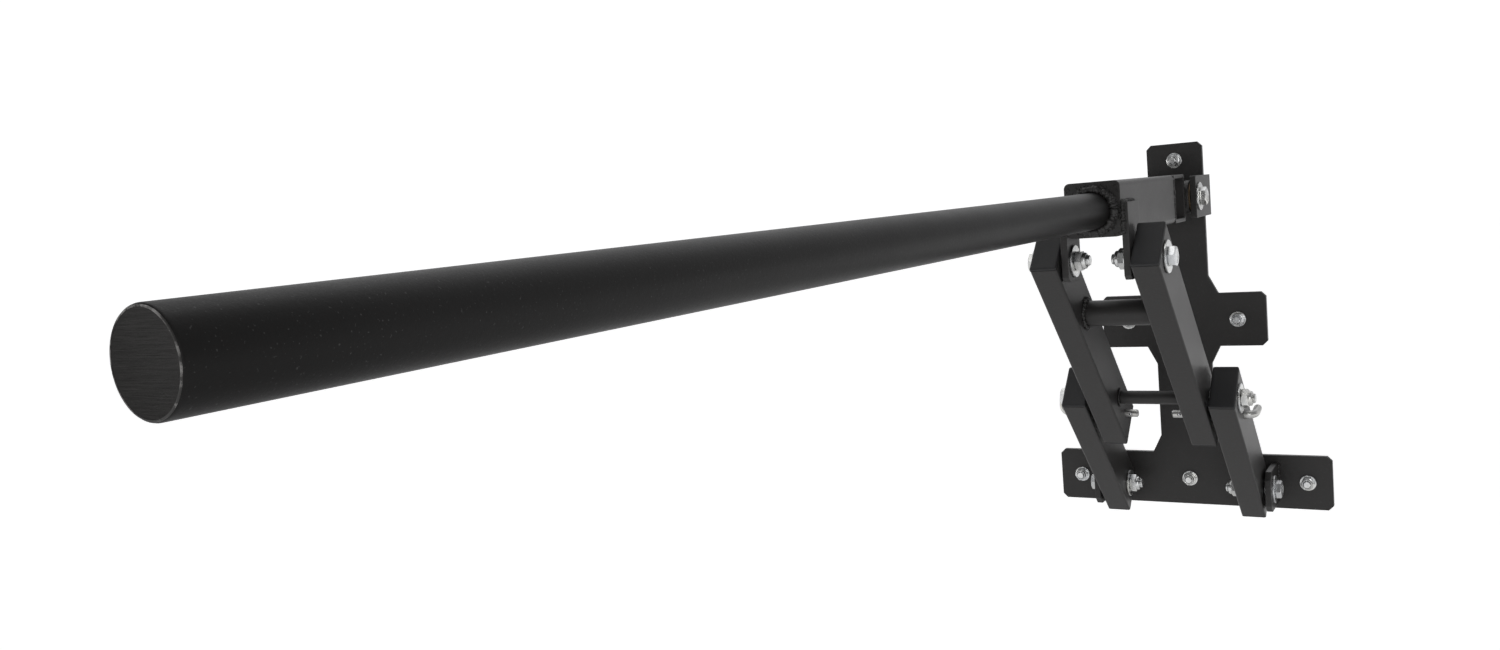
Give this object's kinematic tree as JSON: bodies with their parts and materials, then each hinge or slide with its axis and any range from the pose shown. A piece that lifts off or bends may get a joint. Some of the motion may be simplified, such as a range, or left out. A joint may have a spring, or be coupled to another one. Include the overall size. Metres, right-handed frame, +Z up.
{
  "type": "folding wall pull-up bar",
  "caption": "Single-rod pull-up bar on a square-tube arm that hinges on a wall plate and is propped by a folding strut with lock pins.",
  "frame": {"origin": "on the wall plane, on the axis of the middle stud of the plate's bottom tab", "axes": "+X along the wall to the right, +Y into the wall, so the bar stands out along -Y, +Z up"},
  "size_m": [0.3, 1.311, 0.4172],
  "materials": {
    "black_coat": "satin textured powder coat",
    "zinc_steel": "bright zinc plating",
    "plug_plastic": "matte moulded",
    "bush_bronze": "sintered bronze",
    "ball_steel": "polished",
    "spring_steel": "bright wire"
  },
  "bodies": {
    "wall_plate": {"wall_plate": "black_coat", "wall_studs": "zinc_steel", "wall_washers": "zinc_steel", "wall_nuts": "zinc_steel", "hinge_ear_left": "black_coat", "hinge_ear_right": "black_coat", "link_ear_left": "black_coat", "link_ear_right": "black_coat", "hinge_bolt": "zinc_steel", "hinge_washers": "zinc_steel", "hinge_nut": "zinc_steel", "ear_bolts": "zinc_steel", "ear_washers": "zinc_steel", "ear_nuts": "zinc_steel"},
    "arm": {"arm_tube": "black_coat", "arm_end_plate": "black_coat", "hinge_block": "black_coat", "hinge_barrel": "black_coat", "barrel_weld": "black_coat", "hinge_bushes": "bush_bronze", "arm_tab_left": "black_coat", "arm_tab_right": "black_coat", "bar": "black_coat", "bar_weld": "black_coat", "tab_bolts": "zinc_steel", "tab_washers": "zinc_steel", "tab_nuts": "zinc_steel"},
    "upper_links": {"upper_link_left": "black_coat", "upper_link_right": "black_coat", "upper_link_plugs": "plug_plastic", "upper_link_sleeves": "black_coat", "cross_tube": "black_coat", "spacer_tube": "black_coat", "spacer_washers": "zinc_steel", "axle": "zinc_steel", "upper_link_spacers": "zinc_steel"},
    "lower_links": {"lower_link_left": "black_coat", "lower_link_right": "black_coat", "lower_link_plugs": "plug_plastic", "lower_link_sleeves": "black_coat", "axle_ends": "zinc_steel", "axle_washers": "zinc_steel", "axle_nut": "zinc_steel"},
    "lock_pin_left": {"lock_pin_left": "zinc_steel"},
    "lock_pin_right": {"lock_pin_right": "zinc_steel"},
    "lock_nose_left": {"lock_nose_left": "zinc_steel", "detent_ball_left": "ball_steel", "detent_spring_left": "spring_steel"},
    "lock_nose_right": {"lock_nose_right": "zinc_steel", "detent_ball_right": "ball_steel", "detent_spring_right": "spring_steel"}
  },
  "joints": [
    {"name": "arm_fold", "type": "hinge", "parent": "wall_plate", "child": "arm", "pos_m": [0, -0.062, 0.32497], "axis": [1, 0, 0], "range_deg": [0, 78]},
    {"name": "upper_link_turn", "type": "hinge", "parent": "arm", "child": "upper_links", "pos_m": [0, -0.32556, 0.27867], "axis": [1, 0, 0], "range_deg": [-133.2, 0]},
    {"name": "lower_link_turn", "type": "hinge", "parent": "wall_plate", "child": "lower_links", "pos_m": [0, -0.04, 0], "axis": [1, 0, 0], "range_deg": [0, 111.9]},
    {"name": "lock_pin_right_pull", "type": "slide", "parent": "lower_links", "child": "lock_pin_right", "axis": [1, 0, 0], "range_m": [0, 0.045]},
    {"name": "lock_pin_left_pull", "type": "slide", "parent": "lower_links", "child": "lock_pin_left", "axis": [-1, 0, 0], "range_m": [0, 0.045]},
    {"name": "lock_nose_right_pull", "type": "slide", "parent": "upper_links", "child": "lock_nose_right", "axis": [1, 0, 0], "range_m": [0, 0.045]},
    {"name": "lock_nose_left_pull", "type": "slide", "parent": "upper_links", "child": "lock_nose_left", "axis": [-1, 0, 0], "range_m": [0, 0.045]}
  ],
  "couplings": [
    {"joint": "upper_link_turn", "follows": "arm_fold", "ratio": -1.7055},
    {"joint": "lower_link_turn", "follows": "arm_fold", "ratio": 1.4321},
    {"joint": "lock_nose_right_pull", "follows": "lock_pin_right_pull", "ratio": 1},
    {"joint": "lock_nose_left_pull", "follows": "lock_pin_left_pull", "ratio": 1}
  ]
}
